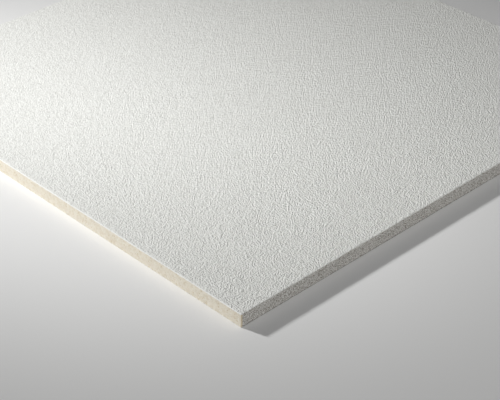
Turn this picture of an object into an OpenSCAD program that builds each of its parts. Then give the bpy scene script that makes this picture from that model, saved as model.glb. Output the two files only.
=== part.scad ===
// Square-edge lay-in ceiling tile: one board of pressed mineral fibre, coated on its face.
// It lies on its back with the coated face up. The origin is the centre of the back.

/* [Grid] */
// Grid module along X, between the centre lines of the bars
module_length = 625; // [300:1:1200]
// Grid module along Y, between the centre lines of the bars
module_width = 625; // [300:1:1200]
// How much shorter than the module the board is cut, so that it drops in between the bars
lay_in_clearance = 6; // [2:0.5:12]

/* [Board] */
// Thickness from the sawn back to the coated face
board_thickness = 15; // [12:0.5:24]

/* [Edges] */
// Radius of the arris round the face, where the coat turns over the edge
face_arris_radius = 0.5; // [0.3:0.1:2.5]
// Width of the rubbed chamfer round the sawn back
back_chamfer = 0.3; // [0.2:0.1:2]
// Radius of the four upright corners
corner_radius = 0.5; // [0.3:0.1:3]

/* [Hidden] */
$fn = 64;
board_length = module_length - lay_in_clearance;
board_width = module_width - lay_in_clearance;

// Waste to take off a square corner at the origin, so that a round one is left.
// The shape lies below the origin and to the left of it.
module round_waste(radius) {
    difference() {
        translate([-radius, -radius]) square(2 * radius);
        translate([-radius, -radius]) circle(radius);
    }
}

// Waste to take off a square corner at the origin, so that a chamfer is left.
// The shape lies above the origin and to the left of it.
module chamfer_waste(width) {
    polygon([[-width, 0], [0, width], [width, 0], [0, -width]]);
}

// Section across one pair of edges: round arrises on the face, chamfers on the back
module edge_section(span) {
    difference() {
        translate([-span / 2, 0]) square([span, board_thickness]);
        for (side = [0, 1])
            mirror([side, 0]) {
                translate([span / 2, board_thickness]) round_waste(face_arris_radius);
                translate([span / 2, 0]) chamfer_waste(back_chamfer);
            }
    }
}

// Outline from above, with the upright corners eased
module plan() {
    difference() {
        square([board_length, board_width], center = true);
        for (flip_x = [0, 1], flip_y = [0, 1])
            mirror([flip_x, 0]) mirror([0, flip_y])
                translate([board_length / 2, board_width / 2]) round_waste(corner_radius);
    }
}

// The whole tile: the edge section run along both directions, inside the plan
module tile() {
    color("whitesmoke") intersection() {
        linear_extrude(board_thickness) plan();
        rotate([90, 0, 0])
            linear_extrude(board_width, center = true) edge_section(board_length);
        rotate([90, 0, 90])
            linear_extrude(board_length, center = true) edge_section(board_width);
    }
}

tile();
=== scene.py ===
"""Suspended ceiling tile: a pressed mineral fibre board with a white granular coat on its face.

The tile lies on its back on a pale floor, lit by a soft key from the left and a pale room in front.
"""
import math

import bmesh
import bpy
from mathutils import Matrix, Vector


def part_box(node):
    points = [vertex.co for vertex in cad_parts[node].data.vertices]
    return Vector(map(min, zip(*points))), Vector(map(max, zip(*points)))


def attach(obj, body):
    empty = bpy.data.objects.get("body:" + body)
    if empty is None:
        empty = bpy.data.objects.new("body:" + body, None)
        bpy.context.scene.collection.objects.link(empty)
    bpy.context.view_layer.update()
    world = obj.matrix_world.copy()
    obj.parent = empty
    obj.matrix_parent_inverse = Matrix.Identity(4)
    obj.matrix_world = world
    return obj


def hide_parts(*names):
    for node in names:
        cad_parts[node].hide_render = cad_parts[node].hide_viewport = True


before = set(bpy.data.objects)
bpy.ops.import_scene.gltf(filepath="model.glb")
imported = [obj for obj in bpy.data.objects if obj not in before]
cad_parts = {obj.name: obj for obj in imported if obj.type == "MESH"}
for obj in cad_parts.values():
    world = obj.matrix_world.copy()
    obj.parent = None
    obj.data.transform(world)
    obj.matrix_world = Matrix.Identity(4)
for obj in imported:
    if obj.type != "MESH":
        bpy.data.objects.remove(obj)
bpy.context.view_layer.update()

# Sizes in metres
MM = 0.001
TILE_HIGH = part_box("tile")[1]
HALF_X = TILE_HIGH.x
HALF_Y = TILE_HIGH.y
THICKNESS = TILE_HIGH.z
FACE_ARRIS = 0.5 * MM
BACK_CHAMFER = 0.3 * MM
CORNER_ROUND = 0.5 * MM
EDGE_TOP = THICKNESS - FACE_ARRIS
TOLERANCE = 0.01 * MM

# Mesh of the board: cells along the face, steps round the arris, rows down the edges, and the width of
# the rings that keep the flats beside an arris and the rim of the back flat
FACE_CELLS = 284
ARRIS_STEPS = 3
EDGE_ROWS = 6
CORNER_SEGMENTS = 2
SUPPORT = 0.3 * MM
BACK_RIM = 6.0 * MM
SMOOTH_ANGLE = math.radians(40)

# Order of the four finishes on the board
ON_FACE, ON_RAW_EDGES, ON_SEALED_EDGES, ON_BACK = range(4)

# Unevenness of the board's surfaces: how broad it is, and how far it moves the surface
COAT_SWELL_SIZE = 14.0 * MM
COAT_SWELL_HEIGHT = 0.16 * MM
COAT_LUMP_SIZE = 8.5 * MM
COAT_LUMP_HEIGHT = 0.13 * MM
ARRIS_CRUMB_SIZE = 2.4 * MM
ARRIS_CRUMB_DEPTH = 0.30 * MM
SAW_MARK_SIZE = 3.0 * MM
SAW_MARK_DEPTH = 0.10 * MM
FOOT_CHIP_SIZE = 2.6 * MM
FOOT_CHIP_DEPTH = 0.3 * MM
FOOT_CHIP_RANGE = (0.20, 0.40)

# How far the crumbs reach from the arris and the chips from the foot, and how far the saw marks stay away
ARRIS_REACH = 0.6 * MM
FOOT_REACH = 1.5 * MM
EDGE_CLEAR_OF_FACE = 0.3 * MM
EDGE_CLEAR_OF_BACK = 0.2 * MM

# Which value of a noise leaves the surface where it is: the middle one, or one at or near the top, so
# that the noise cuts in
BOTH_WAYS = 0.5
MOSTLY_INWARD = 0.8
INWARD = 1.0

# Picture that the camera is fitted to
PICTURE_WIDTH = 500
PICTURE_HEIGHT = 400
FOCAL_PIXELS = 1498.1
CAMERA_AZIMUTH = math.radians(46.17)
CAMERA_ELEVATION = math.radians(33.40)
NEAR_CORNER_PIXEL = (241.20, 327.84)
NEAR_CORNER_DEPTH = 1.349
SENSOR_WIDTH = 36.0
NEAR_CORNER = Vector((HALF_X, -HALF_Y, 0.0))

# Directions on the floor as the picture shows them
RIGHTWARD = Vector((math.cos(CAMERA_AZIMUTH), math.sin(CAMERA_AZIMUTH), 0.0))
AWAY = Vector((-math.sin(CAMERA_AZIMUTH), math.cos(CAMERA_AZIMUTH), 0.0))
UPWARD = Vector((0.0, 0.0, 1.0))

# Turn of the noise that makes the grain, and step towards the light, for the painted light and shade on the
# grains' sides
NOISE_TURN = (0.40, 0.90, 1.90)
PAINTED_LIGHT_STEP = Vector((-0.50, -0.25, 0.0)) * MM

# Coarseness of the coat: at the near corner, its rise in each direction per metre, its least and greatest
COARSE_AT_CORNER = 1.42
COARSE_TREND = Vector((2.15, 0.8, 0.0))
COARSE_LEAST = 0.6
COARSE_GREATEST = 1.6

# Coat: grain height, strength of the painted light and shade on grain sides and of the joints, and its
# usual share of shade
COAT_GRAIN_HEIGHT = 0.95 * MM
PAINTED_LIGHT_AND_SHADE_STRENGTH = 1.45
JOINT_STRENGTH = 1.2
COAT_JOINT_AND_PAINTED_SHADE_SHARE = 0.30

# Lumps and flecks for each grain, counted along a line
LUMPS_PER_GRAIN = 0.3
FLECKS_PER_GRAIN = 1.7

# Seal: how strongly its flecks show, and its usual share of dark
SEAL_FLECK_STRENGTH = 2.8
SEAL_DARK_SHARE = 0.42

# Cells per metre of the noises that make the coat's lower edge and the rims wander, and of the mottles
LAP_WANDER = 420.0
RIM_WANDER = 600.0
COAT_MOTTLE = 18.0
RAW_MOTTLE = 260.0
BACK_MOTTLE = 60.0

# Colours
COAT_WHITE = (0.930, 0.935, 0.900, 1.0)
# Colour of the coat's broad mottle and of the painted shade in the dips between grains
COAT_TONE_AND_DIP_SHADE = (0.830, 0.830, 0.790, 1.0)
# Colour of the dark joints and of the painted shade on the grains' far sides
COAT_JOINT_AND_PAINTED_SHADE = (0.640, 0.640, 0.610, 1.0)
COAT_BEAD = (0.915, 0.915, 0.888, 1.0)
RAW_CREAM = (0.886, 0.833, 0.718, 1.0)
RAW_TAN = (0.640, 0.530, 0.350, 1.0)
RAW_PALE = (0.930, 0.895, 0.810, 1.0)
RAW_DARK = (0.330, 0.250, 0.160, 1.0)
SEAL_DARK = (0.230, 0.210, 0.178, 1.0)
SEAL_PALE = (0.720, 0.708, 0.680, 1.0)
# Painted shadow along the foot of the sealed edges
SEAL_PAINTED_FOOT_SHADOW = (0.110, 0.095, 0.075, 1.0)
# Floor colours inside and outside the pool of light painted round the tile
FLOOR_PAINTED_LIT = (0.850, 0.850, 0.841, 1.0)
FLOOR_PAINTED_DIM = (0.685, 0.685, 0.679, 1.0)
BACKDROP = (0.550, 0.550, 0.545, 1.0)

# Key lamp: bearing and elevation in degrees and distance from the near corner, and the spot it is aimed at
KEY_BEARING = 150.0
KEY_ELEVATION = 28.8
KEY_DISTANCE = 2.3
KEY_AIM_RIGHT = -0.1
KEY_AIM_AWAY = 0.3
KEY_SIZE = 0.172
KEY_POWER = 2.42
KEY_SPREAD = math.radians(38.4)

# Glows of the room: bearing, elevation and strength of each, and how quickly they fade from their middle
LOW_GLOW = (275.0, 12.0, 0.74)
HIGH_GLOW = (300.0, 40.0, 0.735)
GLOW_FALLOFF = 3.0

# Floor: its size, the middle of the pool of light painted on it, and the distances from there over which
# that painted light fades to grey
FLOOR_SIZE = 16.0
FLOOR_PAINTED_POOL_RIGHT = -0.08
FLOOR_PAINTED_POOL_AWAY = 0.38
FLOOR_PAINTED_LIT_REACH = 0.25
FLOOR_PAINTED_DIM_REACH = 0.56


def from_corner(right, away, up):
    """Point given by its distances from the near corner of the tile, as the picture shows them."""
    return NEAR_CORNER + RIGHTWARD * right + AWAY * away + UPWARD * up


def select_only(piece):
    """Leaves one object selected and active."""
    bpy.ops.object.select_all(action="DESELECT")
    piece.select_set(True)
    bpy.context.view_layer.objects.active = piece


# Node helpers


def add_node(tree, kind, **settings):
    """Adds a node and gives it its settings."""
    node = tree.nodes.new(kind)
    for name, value in settings.items():
        setattr(node, name, value)
    return node


def feed(tree, socket, value):
    """Puts a number, a colour or another node's output into a socket."""
    if isinstance(value, bpy.types.NodeSocket):
        tree.links.new(value, socket)
    elif value is not None:
        socket.default_value = value


def calculate(tree, operation, *values, clamp=False):
    """Result of one operation on numbers."""
    node = add_node(tree, "ShaderNodeMath", operation=operation, use_clamp=clamp)
    for socket, value in zip(node.inputs, values):
        feed(tree, socket, value)
    return node.outputs["Value"]


def scaled(tree, vector, factor):
    """Position times a factor."""
    node = add_node(tree, "ShaderNodeVectorMath", operation="SCALE")
    feed(tree, node.inputs[0], vector)
    feed(tree, node.inputs["Scale"], factor)
    return node.outputs["Vector"]


def moved(tree, vector, step):
    """Position one step further on."""
    node = add_node(tree, "ShaderNodeVectorMath", operation="ADD")
    feed(tree, node.inputs[0], vector)
    feed(tree, node.inputs[1], step)
    return node.outputs["Vector"]


def turned(tree, vector):
    """Turns a position, so that the rows of a noise don't line up with the board."""
    node = add_node(tree, "ShaderNodeVectorRotate", rotation_type="EULER_XYZ")
    feed(tree, node.inputs["Vector"], vector)
    feed(tree, node.inputs["Rotation"], NOISE_TURN)
    return node.outputs["Vector"]


def part_of(tree, vector, axis):
    """One coordinate of a position."""
    node = add_node(tree, "ShaderNodeSeparateXYZ")
    feed(tree, node.inputs["Vector"], vector)
    return node.outputs[axis]


def inward_from(tree, position, axis, half_size):
    """Distance of a position from the nearer of the board's two edges across an axis."""
    from_middle = calculate(tree, "ABSOLUTE", part_of(tree, position, axis))
    return calculate(tree, "SUBTRACT", half_size, from_middle)


def ramp(tree, value, low, high):
    """Smooth step from 0 at low to 1 at high."""
    node = add_node(tree, "ShaderNodeMapRange", interpolation_type="SMOOTHSTEP", clamp=True)
    feed(tree, node.inputs["Value"], value)
    feed(tree, node.inputs["From Min"], low)
    feed(tree, node.inputs["From Max"], high)
    return node.outputs["Result"]


def blended(tree, factor, first, second):
    """Colour between two others: the first at 0, the second at 1."""
    node = add_node(tree, "ShaderNodeMix", data_type="RGBA", clamp_factor=True)
    feed(tree, node.inputs["Factor"], factor)
    feed(tree, node.inputs["A"], first)
    feed(tree, node.inputs["B"], second)
    return node.outputs["Result"]


def tinted(tree, colour, tint, mask, share):
    """Colour that takes on a share of a tint where a mask is 1."""
    return blended(tree, calculate(tree, "MULTIPLY", mask, share), colour, tint)


def noise(tree, vector, scale, detail=0.0, roughness=0.5):
    """Soft noise about 0.5."""
    node = add_node(tree, "ShaderNodeTexNoise")
    feed(tree, node.inputs["Vector"], vector)
    feed(tree, node.inputs["Scale"], scale)
    feed(tree, node.inputs["Detail"], detail)
    feed(tree, node.inputs["Roughness"], roughness)
    return node.outputs["Fac"]


def swing(tree, vector, scale, detail=0.0):
    """Soft noise about 0."""
    return calculate(tree, "SUBTRACT", noise(tree, vector, scale, detail), 0.5)


def new_group(name, inputs, outputs):
    """Empty node group: it takes a position and numbers, each with a usual value, and gives numbers."""
    tree = bpy.data.node_groups.new(name, "ShaderNodeTree")
    tree.interface.new_socket("Position", in_out="INPUT", socket_type="NodeSocketVector")
    for label, usual in inputs.items():
        socket = tree.interface.new_socket(label, in_out="INPUT", socket_type="NodeSocketFloat")
        socket.default_value = usual
    for label in outputs:
        tree.interface.new_socket(label, in_out="OUTPUT", socket_type="NodeSocketFloat")
    start = tree.nodes.new("NodeGroupInput")
    end = tree.nodes.new("NodeGroupOutput")
    return tree, start.outputs, end.inputs


def use_group(tree, group, **values):
    """Group node in a material; a keyword names an input, with underscores for its spaces."""
    node = tree.nodes.new("ShaderNodeGroup")
    node.node_tree = group
    for name, value in values.items():
        feed(tree, node.inputs[name.replace("_", " ").capitalize()], value)
    return node.outputs


# Shared effects


def make_grain_group():
    """Relief of a granular surface: grains over broader lumps.

    It also gives a mask of the dips between grains for painted shade, painted light and shade for the sides
    of each grain, fine flecks, and the joints between grains.
    """
    tree, given, result = new_group(
        "Granular relief",
        {"Grain size": 1.47 * MM, "Grain height": 0.85 * MM, "Lump height": 0.45 * MM},
        ["Height", "Painted dip shade", "Painted light and shade", "Fleck", "Joint"],
    )
    scale = calculate(tree, "DIVIDE", 1.0, given["Grain size"])
    place = turned(tree, scaled(tree, given["Position"], scale))
    beside = turned(tree, scaled(tree, moved(tree, given["Position"], PAINTED_LIGHT_STEP), scale))
    grain = swing(tree, place, 1.0)
    lump = swing(tree, place, LUMPS_PER_GRAIN)
    height = calculate(tree, "MULTIPLY", grain, given["Grain height"])
    height = calculate(tree, "MULTIPLY_ADD", lump, given["Lump height"], height)
    feed(tree, result["Height"], height)
    # Mask of the dips between grains, where shade is painted
    painted_dip_shade = ramp(tree, calculate(tree, "ADD", grain, lump), low=-0.02, high=-0.30)
    feed(tree, result["Painted dip shade"], painted_dip_shade)
    # Painted light and shade: paler where a grain faces the light, darker where it faces away
    next_grain = swing(tree, beside, 1.0)
    feed(tree, result["Painted light and shade"], calculate(tree, "SUBTRACT", grain, next_grain))
    feed(tree, result["Fleck"], swing(tree, place, FLECKS_PER_GRAIN))
    cells = add_node(tree, "ShaderNodeTexVoronoi", feature="F1")
    feed(tree, cells.inputs["Vector"], place)
    feed(tree, cells.inputs["Scale"], 1.0)
    feed(tree, result["Joint"], calculate(tree, "SUBTRACT", cells.outputs["Distance"], 0.5))
    return tree


def make_speck_group():
    """Scattered specks, each in its own cell."""
    tree, given, result = new_group(
        "Specks",
        {"Spacing": 2.0 * MM, "Reach": 0.45, "Share": 0.3},
        ["Mask"],
    )
    cells = add_node(tree, "ShaderNodeTexVoronoi", feature="F1")
    feed(tree, cells.inputs["Vector"], given["Position"])
    feed(tree, cells.inputs["Scale"], calculate(tree, "DIVIDE", 1.0, given["Spacing"]))
    lot = add_node(tree, "ShaderNodeSeparateColor")
    feed(tree, lot.inputs["Color"], cells.outputs["Color"])
    chosen = calculate(tree, "LESS_THAN", lot.outputs["Red"], given["Share"])
    growth = calculate(tree, "MULTIPLY_ADD", lot.outputs["Green"], 0.7, 0.5)
    reach = calculate(tree, "MULTIPLY", given["Reach"], growth)
    inside = calculate(tree, "SUBTRACT", reach, cells.outputs["Distance"])
    soft = ramp(tree, inside, low=0.0, high=0.2)
    feed(tree, result["Mask"], calculate(tree, "MULTIPLY", chosen, soft))
    return tree


def make_lap_group():
    """Ragged lower edge of the coat, where it laps over an arris."""
    tree, given, result = new_group(
        "Coat lap",
        {"Top": EDGE_TOP, "Depth": 0.1 * MM, "Ragged": 0.5 * MM},
        ["Mask"],
    )
    wander = swing(tree, given["Position"], LAP_WANDER, detail=1.0)
    line = calculate(tree, "SUBTRACT", given["Top"], given["Depth"])
    line = calculate(tree, "MULTIPLY_ADD", wander, given["Ragged"], line)
    above = calculate(tree, "SUBTRACT", part_of(tree, given["Position"], "Z"), line)
    feed(tree, result["Mask"], ramp(tree, above, low=-0.1 * MM, high=0.2 * MM))
    return tree


def make_rim_group():
    """1 at the upright corners and at the back arris of an edge, fading away from them."""
    tree, given, result = new_group(
        "Edge rim",
        {"Corner width": 0.9 * MM, "Foot height": 0.5 * MM, "Ragged": 0.8 * MM},
        ["Corner", "Foot"],
    )
    wander = swing(tree, given["Position"], RIM_WANDER, detail=1.0)
    wander = calculate(tree, "MULTIPLY", wander, given["Ragged"])
    from_x = inward_from(tree, given["Position"], "X", HALF_X)
    from_y = inward_from(tree, given["Position"], "Y", HALF_Y)
    in_from_corner = calculate(tree, "ADD", calculate(tree, "MAXIMUM", from_x, from_y), wander)
    to_go = calculate(tree, "SUBTRACT", given["Corner width"], in_from_corner)
    feed(tree, result["Corner"], ramp(tree, to_go, low=-0.3 * MM, high=0.3 * MM))
    over_foot = calculate(tree, "ADD", part_of(tree, given["Position"], "Z"), wander)
    to_foot = calculate(tree, "SUBTRACT", given["Foot height"], over_foot)
    feed(tree, result["Foot"], ramp(tree, to_foot, low=-0.15 * MM, high=0.15 * MM))
    return tree


def make_bead_group():
    """Thick rim of the coat along the raw edges: its mask, and how far it rolls down to the arris."""
    tree, given, result = new_group(
        "Coat bead",
        {"Width": 0.8 * MM, "Ragged": 1.6 * MM, "Roll": 0.6},
        ["Mask", "Drop"],
    )
    from_y = inward_from(tree, given["Position"], "Y", HALF_Y)
    wander = swing(tree, given["Position"], RIM_WANDER, detail=1.0)
    to_go = calculate(tree, "SUBTRACT", given["Width"], from_y)
    ragged_to_go = calculate(tree, "MULTIPLY_ADD", wander, given["Ragged"], to_go)
    feed(tree, result["Mask"], ramp(tree, ragged_to_go, low=-0.2 * MM, high=0.2 * MM))
    within = calculate(tree, "MAXIMUM", to_go, 0.0)
    within = calculate(tree, "MINIMUM", within, calculate(tree, "SUBTRACT", given["Width"], FACE_ARRIS))
    slope = calculate(tree, "DIVIDE", calculate(tree, "MULTIPLY", within, given["Roll"]), given["Width"])
    feed(tree, result["Drop"], calculate(tree, "MULTIPLY", slope, within))
    return tree


# Materials


def new_material(name):
    """New material with its node tree, its shader and the position on the piece."""
    material = bpy.data.materials.new(name)
    material.use_nodes = True
    tree = material.node_tree
    shader = tree.nodes["Principled BSDF"]
    place = tree.nodes.new("ShaderNodeTexCoord").outputs["Object"]
    return material, tree, shader, place


def set_finish(tree, shader, colour, roughness, shine):
    """Gives a shader its colour, and how matt and how shiny it is."""
    feed(tree, shader.inputs["Base Color"], colour)
    feed(tree, shader.inputs["Roughness"], roughness)
    feed(tree, shader.inputs["Specular IOR Level"], shine)


def add_bump(tree, shader, height):
    """Raises the surface by a height in metres, in the shading."""
    bump = add_node(tree, "ShaderNodeBump")
    feed(tree, bump.inputs["Strength"], 1.0)
    feed(tree, bump.inputs["Distance"], 1.0)
    feed(tree, bump.inputs["Height"], height)
    feed(tree, shader.inputs["Normal"], bump.outputs["Normal"])


def make_coat(grain_group, bead_group):
    """Coat of the face, with a grain that stands higher towards one corner, painted light and shade on its
    grains, and a bead on the raw edges.
    """
    material, tree, shader, place = new_material("White granular coat")
    trend = add_node(tree, "ShaderNodeVectorMath", operation="DOT_PRODUCT")
    feed(tree, trend.inputs[0], moved(tree, place, -NEAR_CORNER))
    feed(tree, trend.inputs[1], COARSE_TREND)
    coarse = calculate(tree, "ADD", trend.outputs["Value"], COARSE_AT_CORNER)
    coarse = calculate(tree, "MINIMUM", calculate(tree, "MAXIMUM", coarse, COARSE_LEAST), COARSE_GREATEST)
    grain_height = calculate(tree, "MULTIPLY", coarse, COAT_GRAIN_HEIGHT)
    grain = use_group(tree, grain_group, position=place, grain_height=grain_height)
    bead = use_group(tree, bead_group, position=place)
    broad = ramp(tree, noise(tree, place, COAT_MOTTLE, detail=2.0), low=0.3, high=0.7)
    # Painted light and shade on the grains' sides, stronger where the grain stands higher
    painted_light_strength = calculate(tree, "MULTIPLY", coarse, PAINTED_LIGHT_AND_SHADE_STRENGTH)
    painted_light_and_shade = calculate(tree, "MULTIPLY", grain["Painted light and shade"], painted_light_strength)
    # Painted shade in the dips between grains, then a broad mottle
    colour = tinted(tree, COAT_WHITE, COAT_TONE_AND_DIP_SHADE, grain["Painted dip shade"], share=0.7)
    colour = tinted(tree, colour, COAT_TONE_AND_DIP_SHADE, broad, share=0.12)
    # Dark joints and painted shade, round a usual share of shade
    tone = calculate(tree, "MULTIPLY_ADD", grain["Joint"], JOINT_STRENGTH, COAT_JOINT_AND_PAINTED_SHADE_SHARE)
    colour = blended(tree, calculate(tree, "SUBTRACT", tone, painted_light_and_shade, clamp=True), colour, COAT_JOINT_AND_PAINTED_SHADE)
    colour = blended(tree, bead["Mask"], colour, COAT_BEAD)
    set_finish(tree, shader, colour, roughness=0.92, shine=0.25)
    smoother = calculate(tree, "MULTIPLY_ADD", bead["Mask"], -0.6, 1.0)
    height = calculate(tree, "MULTIPLY", grain["Height"], smoother)
    add_bump(tree, shader, calculate(tree, "SUBTRACT", height, bead["Drop"]))
    return material


def make_raw_edge(grain_group, speck_group, lap_group, rim_group):
    """Bare cream fibre with tan and pale specks, under the lap of the coat."""
    material, tree, shader, place = new_material("Raw cut fibre edge")
    elsewhere = scaled(tree, place, 1.13)
    grain = use_group(
        tree, grain_group, position=place, grain_size=1.4 * MM, grain_height=0.5 * MM, lump_height=0.2 * MM
    )
    dark = use_group(tree, speck_group, position=place, spacing=1.8 * MM, reach=0.42, share=0.35)
    pale = use_group(tree, speck_group, position=elsewhere, spacing=1.8 * MM, reach=0.45, share=0.35)
    lap = use_group(tree, lap_group, position=place, depth=0.4 * MM, ragged=0.9 * MM)
    rim = use_group(tree, rim_group, position=place, corner_width=0.7 * MM)
    mottle = noise(tree, turned(tree, place), RAW_MOTTLE, detail=2.0, roughness=0.7)
    mottle = ramp(tree, mottle, low=0.35, high=0.7)
    colour = tinted(tree, RAW_CREAM, RAW_TAN, mottle, share=0.32)
    colour = tinted(tree, colour, RAW_PALE, pale["Mask"], share=0.85)
    colour = tinted(tree, colour, RAW_TAN, dark["Mask"], share=0.8)
    colour = tinted(tree, colour, RAW_TAN, rim["Foot"], share=0.35)
    # Darker tan at the upright corners: painted shade where the corner turns away from the light
    colour = tinted(tree, colour, RAW_TAN, rim["Corner"], share=0.35)
    colour = blended(tree, lap["Mask"], colour, COAT_BEAD)
    set_finish(tree, shader, colour, roughness=0.95, shine=0.15)
    add_bump(tree, shader, grain["Height"])
    return material


def make_sealed_edge(grain_group, speck_group, lap_group, rim_group):
    """Thin grey seal with fine dark pits, bare at the upright corners, with a painted shadow along its
    foot.
    """
    material, tree, shader, place = new_material("Sealed edge")
    grain = use_group(
        tree, grain_group, position=place, grain_size=1.6 * MM, grain_height=0.5 * MM, lump_height=0.2 * MM
    )
    pits = use_group(tree, speck_group, position=place, spacing=1.2 * MM, reach=0.50, share=0.35)
    lap = use_group(tree, lap_group, position=place, ragged=0.9 * MM)
    rim = use_group(
        tree, rim_group, position=place, corner_width=1.5 * MM, foot_height=0.6 * MM, ragged=1.4 * MM
    )
    tone = calculate(
        tree, "MULTIPLY_ADD", grain["Fleck"], SEAL_FLECK_STRENGTH, SEAL_DARK_SHARE, clamp=True
    )
    colour = blended(tree, tone, SEAL_PALE, SEAL_DARK)
    colour = tinted(tree, colour, SEAL_DARK, pits["Mask"], share=0.5)
    colour = tinted(tree, colour, RAW_TAN, rim["Corner"], share=0.75)
    # Painted shadow along the foot, in the gap under the back arris
    colour = tinted(tree, colour, SEAL_PAINTED_FOOT_SHADOW, rim["Foot"], share=0.9)
    colour = blended(tree, lap["Mask"], colour, COAT_WHITE)
    set_finish(tree, shader, colour, roughness=0.9, shine=0.2)
    add_bump(tree, shader, grain["Height"])
    return material


def make_back(grain_group, speck_group):
    """Bare cream fibre of the sawn back, with a broad mottle and a few dark specks."""
    material, tree, shader, place = new_material("Raw board back")
    grain = use_group(
        tree, grain_group, position=place, grain_size=1.8 * MM, grain_height=0.5 * MM, lump_height=0.4 * MM
    )
    dark = use_group(tree, speck_group, position=place, spacing=5.0 * MM, reach=0.25, share=0.25)
    mottle = noise(tree, place, BACK_MOTTLE, detail=4.0, roughness=0.65)
    mottle = ramp(tree, mottle, low=0.3, high=0.7)
    colour = tinted(tree, RAW_CREAM, RAW_TAN, mottle, share=0.25)
    colour = tinted(tree, colour, RAW_DARK, dark["Mask"], share=0.4)
    set_finish(tree, shader, colour, roughness=0.95, shine=0.15)
    add_bump(tree, shader, grain["Height"])
    return material


def make_floor_with_painted_light():
    """Pale matt floor with a pool of light painted round the tile, fading to grey further out."""
    material, tree, shader, place = new_material("Pale floor with painted light")
    middle = from_corner(FLOOR_PAINTED_POOL_RIGHT, FLOOR_PAINTED_POOL_AWAY, 0.0)
    outward = add_node(tree, "ShaderNodeVectorMath", operation="LENGTH")
    feed(tree, outward.inputs[0], moved(tree, place, -middle))
    fade = ramp(tree, outward.outputs["Value"], FLOOR_PAINTED_LIT_REACH, FLOOR_PAINTED_DIM_REACH)
    set_finish(tree, shader, blended(tree, fade, FLOOR_PAINTED_LIT, FLOOR_PAINTED_DIM), roughness=0.8, shine=0.2)
    return material


# Tile mesh


def extrude_ring(size_before, size_after, drop):
    """Extrudes the selected ring of edges down by drop, from one pair of half sizes to the next."""
    bpy.ops.mesh.extrude_edges_move(TRANSFORM_OT_translate={"value": (0.0, 0.0, -drop)})
    grow_x = size_after[0] / size_before[0]
    grow_y = size_after[1] / size_before[1]
    bpy.ops.transform.resize(value=(grow_x, grow_y, 1.0), center_override=(0.0, 0.0, 0.0))


def edge_profile():
    """(inset from the outline, height) of each ring from the flat of the face down to the back."""
    rings = [(FACE_ARRIS + SUPPORT, THICKNESS)]
    for step in range(ARRIS_STEPS + 1):
        turn = math.pi / 2 * step / ARRIS_STEPS
        rings.append((FACE_ARRIS * (1 - math.sin(turn)), EDGE_TOP + FACE_ARRIS * math.cos(turn)))
    rings.append((0.0, EDGE_TOP - SUPPORT))
    for row in range(1, EDGE_ROWS + 1):
        rings.append((0.0, EDGE_TOP - SUPPORT + (BACK_CHAMFER - EDGE_TOP + SUPPORT) * row / EDGE_ROWS))
    rings.append((BACK_CHAMFER, 0.0))
    rings.append((BACK_RIM, 0.0))
    return rings


def make_board():
    """Board with a fine grid over its face, round face arrises, rows down its edges and a back chamfer."""
    rings = edge_profile()
    inset, height = rings[0]
    bpy.ops.mesh.primitive_grid_add(
        x_subdivisions=FACE_CELLS, y_subdivisions=FACE_CELLS, size=2.0, location=(0.0, 0.0, height)
    )
    board = bpy.context.object
    board.name = "ceiling_tile"
    bpy.ops.transform.resize(value=(HALF_X - inset, HALF_Y - inset, 1.0))
    bpy.ops.object.transform_apply(location=True, rotation=True, scale=True)
    bpy.ops.object.mode_set(mode="EDIT")
    bpy.ops.mesh.select_mode(type="EDGE")
    bpy.ops.mesh.select_all(action="SELECT")
    bpy.ops.mesh.region_to_loop()
    for (inset, height), (next_inset, next_height) in zip(rings, rings[1:]):
        size = (HALF_X - inset, HALF_Y - inset)
        next_size = (HALF_X - next_inset, HALF_Y - next_inset)
        extrude_ring(size, next_size, height - next_height)
    bpy.ops.mesh.edge_face_add()
    round_upright_corners(board)
    bpy.ops.mesh.select_all(action="SELECT")
    bpy.ops.mesh.normals_make_consistent(inside=False)
    bpy.ops.object.mode_set(mode="OBJECT")
    return board


def round_upright_corners(board):
    """Rounds the four upright corners, from the flat of the face to the back."""
    flat_x = HALF_X - FACE_ARRIS - TOLERANCE
    flat_y = HALF_Y - FACE_ARRIS - TOLERANCE
    edit_mesh = bmesh.from_edit_mesh(board.data)
    for edge in edit_mesh.edges:
        edge.select_set(all(abs(v.co.x) > flat_x and abs(v.co.y) > flat_y for v in edge.verts))
    bmesh.update_edit_mesh(board.data)
    bpy.ops.mesh.bevel(
        offset=CORNER_ROUND, offset_type="OFFSET", segments=CORNER_SEGMENTS, profile=0.5, affect="EDGES"
    )


def weight_group(board, name, weight_of):
    """Vertex group whose weights come from a rule on each vertex; gives back its name."""
    group = board.vertex_groups.new(name=name)
    for vertex in board.data.vertices:
        weight = weight_of(vertex.co)
        if weight > 0.0:
            group.add([vertex.index], weight, "REPLACE")
    return name


def face_weight(point):
    """Full on the face, fading round the arris."""
    return min(1.0, max(0.0, (point.z - EDGE_TOP) / FACE_ARRIS + 0.35))


def edge_weight(point):
    """Full on the four edges, clear of the face and the back."""
    if point.z > THICKNESS - EDGE_CLEAR_OF_FACE or point.z < EDGE_CLEAR_OF_BACK:
        return 0.0
    return 1.0


def arris_weight(point):
    """Full on the round of the face arris."""
    outer = max(abs(point.x) - HALF_X, abs(point.y) - HALF_Y) > -ARRIS_REACH
    return 1.0 if outer and point.z > THICKNESS - ARRIS_REACH else 0.0


def foot_weight(point):
    """Full on the lowest part of the edges."""
    outer = max(abs(point.x) - HALF_X, abs(point.y) - HALF_Y) > -FOOT_REACH
    return 1.0 if outer and point.z < FOOT_REACH else 0.0


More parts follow.
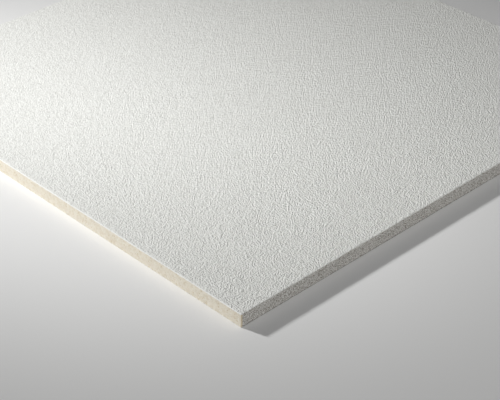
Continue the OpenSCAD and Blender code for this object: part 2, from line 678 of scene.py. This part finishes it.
def cloud_texture(name, size, low=0.0, high=1.0):
    """Soft noise of one size; values up to low count as 0, and those from high on as 1."""
    texture = bpy.data.textures.new(name, "CLOUDS")
    texture.noise_scale = size
    texture.noise_depth = 0
    texture.noise_basis = "ORIGINAL_PERLIN"
    texture.use_color_ramp = True
    dark, light = texture.color_ramp.elements
    dark.position = low
    dark.color = (0.0, 0.0, 0.0, 1.0)
    light.position = high
    light.color = (1.0, 1.0, 1.0, 1.0)
    return texture


def add_noise_space():
    """Empty that stands turned to the board, so that the rows of a noise don't line up with it."""
    bpy.ops.object.empty_add(rotation=NOISE_TURN)
    space = bpy.context.object
    bpy.context.view_layer.update()
    return space


def roughen(board, space, texture, group, strength, middle):
    """Moves the surface in and out along its normals, by a noise that is laid out in a turned space."""
    modifier = board.modifiers.new(texture.name, "DISPLACE")
    modifier.texture = texture
    modifier.texture_coords = "OBJECT"
    modifier.texture_coords_object = space
    modifier.direction = "NORMAL"
    modifier.vertex_group = group
    modifier.strength = strength
    modifier.mid_level = middle
    bpy.ops.object.modifier_apply(modifier=modifier.name)


def paint_board(board, coat, raw, sealed, back):
    """Coat on the face and its arrises, raw cut on the Y edges and upright corners, seal on the X edges."""
    for material in (coat, raw, sealed, back):
        board.data.materials.append(material)
    for polygon in board.data.polygons:
        normal = polygon.normal
        centre = polygon.center
        if centre.z > EDGE_TOP:
            polygon.material_index = ON_FACE
        elif normal.z < -0.9:
            polygon.material_index = ON_BACK
        elif abs(normal.x) > 2.0 * abs(normal.y):
            polygon.material_index = ON_SEALED_EDGES
        else:
            polygon.material_index = ON_RAW_EDGES


def make_tile():
    """The whole tile: its board, the unevenness of each surface, and its four finishes."""
    board = make_board()
    face = weight_group(board, "face", face_weight)
    edges = weight_group(board, "edges", edge_weight)
    arris = weight_group(board, "arris", arris_weight)
    foot = weight_group(board, "foot", foot_weight)
    space = add_noise_space()
    select_only(board)
    swell = cloud_texture("coat swell", COAT_SWELL_SIZE)
    lumps = cloud_texture("coat lumps", COAT_LUMP_SIZE)
    crumbs = cloud_texture("arris crumbs", ARRIS_CRUMB_SIZE)
    saw_marks = cloud_texture("sawn edge", SAW_MARK_SIZE)
    chips = cloud_texture("foot chips", FOOT_CHIP_SIZE, *FOOT_CHIP_RANGE)
    roughen(board, space, swell, face, COAT_SWELL_HEIGHT, BOTH_WAYS)
    roughen(board, space, lumps, face, COAT_LUMP_HEIGHT, BOTH_WAYS)
    roughen(board, space, crumbs, arris, ARRIS_CRUMB_DEPTH, INWARD)
    roughen(board, space, saw_marks, edges, SAW_MARK_DEPTH, MOSTLY_INWARD)
    roughen(board, space, chips, foot, FOOT_CHIP_DEPTH, INWARD)
    bpy.data.objects.remove(space)
    grain_group = make_grain_group()
    speck_group = make_speck_group()
    lap_group = make_lap_group()
    rim_group = make_rim_group()
    paint_board(
        board,
        make_coat(grain_group, make_bead_group()),
        make_raw_edge(grain_group, speck_group, lap_group, rim_group),
        make_sealed_edge(grain_group, speck_group, lap_group, rim_group),
        make_back(grain_group, speck_group),
    )
    select_only(board)
    bpy.ops.object.shade_smooth_by_angle(angle=SMOOTH_ANGLE)
    even = board.modifiers.new("even shading", "WEIGHTED_NORMAL")
    even.keep_sharp = True
    bpy.ops.object.modifier_apply(modifier=even.name)
    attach(board, "root")
    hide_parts("tile")


# Studio


def make_floor():
    """Floor that the tile lies on, wide enough to fill the picture."""
    bpy.ops.mesh.primitive_plane_add(size=FLOOR_SIZE, location=(0.0, 0.0, 0.0))
    floor = bpy.context.object
    floor.name = "floor"
    floor.data.materials.append(make_floor_with_painted_light())


def add_lamp(name, place, target, size, power, spread):
    """Square soft lamp aimed at a point, whose beam has a spread."""
    data = bpy.data.lights.new(name, "AREA")
    data.shape = "SQUARE"
    data.size = size
    data.energy = power
    data.spread = spread
    lamp = bpy.data.objects.new(name, data)
    bpy.context.scene.collection.objects.link(lamp)
    lamp.location = place
    lamp.rotation_mode = "QUATERNION"
    lamp.rotation_quaternion = (target - place).to_track_quat("-Z", "Y")
    lamp.visible_camera = False


def around_corner(bearing, elevation, distance):
    """Point at a bearing turned left from rightward, an elevation and a distance from the near corner."""
    bearing = math.radians(bearing)
    elevation = math.radians(elevation)
    level = distance * math.cos(elevation)
    up = distance * math.sin(elevation)
    return from_corner(level * math.cos(bearing), level * math.sin(bearing), up)


def soft_glow(tree, direction, bearing, elevation, strength):
    """Broad glow of the surround round a bearing and an elevation, as around_corner takes them."""
    axis = (around_corner(bearing, elevation, 1.0) - NEAR_CORNER).normalized()
    facing = add_node(tree, "ShaderNodeVectorMath", operation="DOT_PRODUCT")
    feed(tree, facing.inputs[0], direction)
    feed(tree, facing.inputs[1], axis)
    lobe = calculate(tree, "POWER", calculate(tree, "MAXIMUM", facing.outputs["Value"], 0.0), GLOW_FALLOFF)
    return calculate(tree, "MULTIPLY", lobe, strength)


def light_studio():
    """Small soft key from the left and behind, and a pale room in front, with a low and a high glow."""
    key_place = around_corner(KEY_BEARING, KEY_ELEVATION, KEY_DISTANCE)
    key_target = from_corner(KEY_AIM_RIGHT, KEY_AIM_AWAY, 0.0)
    add_lamp("key", key_place, key_target, KEY_SIZE, KEY_POWER, KEY_SPREAD)
    world = bpy.data.worlds.new("studio")
    bpy.context.scene.world = world
    world.use_nodes = True
    tree = world.node_tree
    background = tree.nodes["Background"]
    direction = tree.nodes.new("ShaderNodeTexCoord").outputs["Generated"]
    low_glow = soft_glow(tree, direction, *LOW_GLOW)
    high_glow = soft_glow(tree, direction, *HIGH_GLOW)
    glow = calculate(tree, "ADD", low_glow, high_glow)
    path = add_node(tree, "ShaderNodeLightPath")
    colour = blended(tree, path.outputs["Is Camera Ray"], glow, BACKDROP)
    feed(tree, background.inputs["Color"], colour)


def place_camera():
    """Camera that sees the near corner of the tile where the picture has it."""
    data = bpy.data.cameras.new("camera")
    data.sensor_fit = "HORIZONTAL"
    data.sensor_width = SENSOR_WIDTH
    data.lens = FOCAL_PIXELS / PICTURE_WIDTH * SENSOR_WIDTH
    camera = bpy.data.objects.new("camera", data)
    bpy.context.scene.collection.objects.link(camera)
    forward = AWAY * math.cos(CAMERA_ELEVATION) - UPWARD * math.sin(CAMERA_ELEVATION)
    upright = AWAY * math.sin(CAMERA_ELEVATION) + UPWARD * math.cos(CAMERA_ELEVATION)
    across = (NEAR_CORNER_PIXEL[0] - PICTURE_WIDTH / 2) / FOCAL_PIXELS
    down = (NEAR_CORNER_PIXEL[1] - PICTURE_HEIGHT / 2) / FOCAL_PIXELS
    sight = forward + RIGHTWARD * across - upright * down
    camera.location = NEAR_CORNER - sight * NEAR_CORNER_DEPTH
    camera.rotation_mode = "QUATERNION"
    camera.rotation_quaternion = forward.to_track_quat("-Z", "Y")
    bpy.context.scene.camera = camera


bpy.ops.object.select_all(action="DESELECT")
make_tile()
make_floor()
light_studio()
place_camera()
bpy.context.scene.view_settings.view_transform = "Standard"
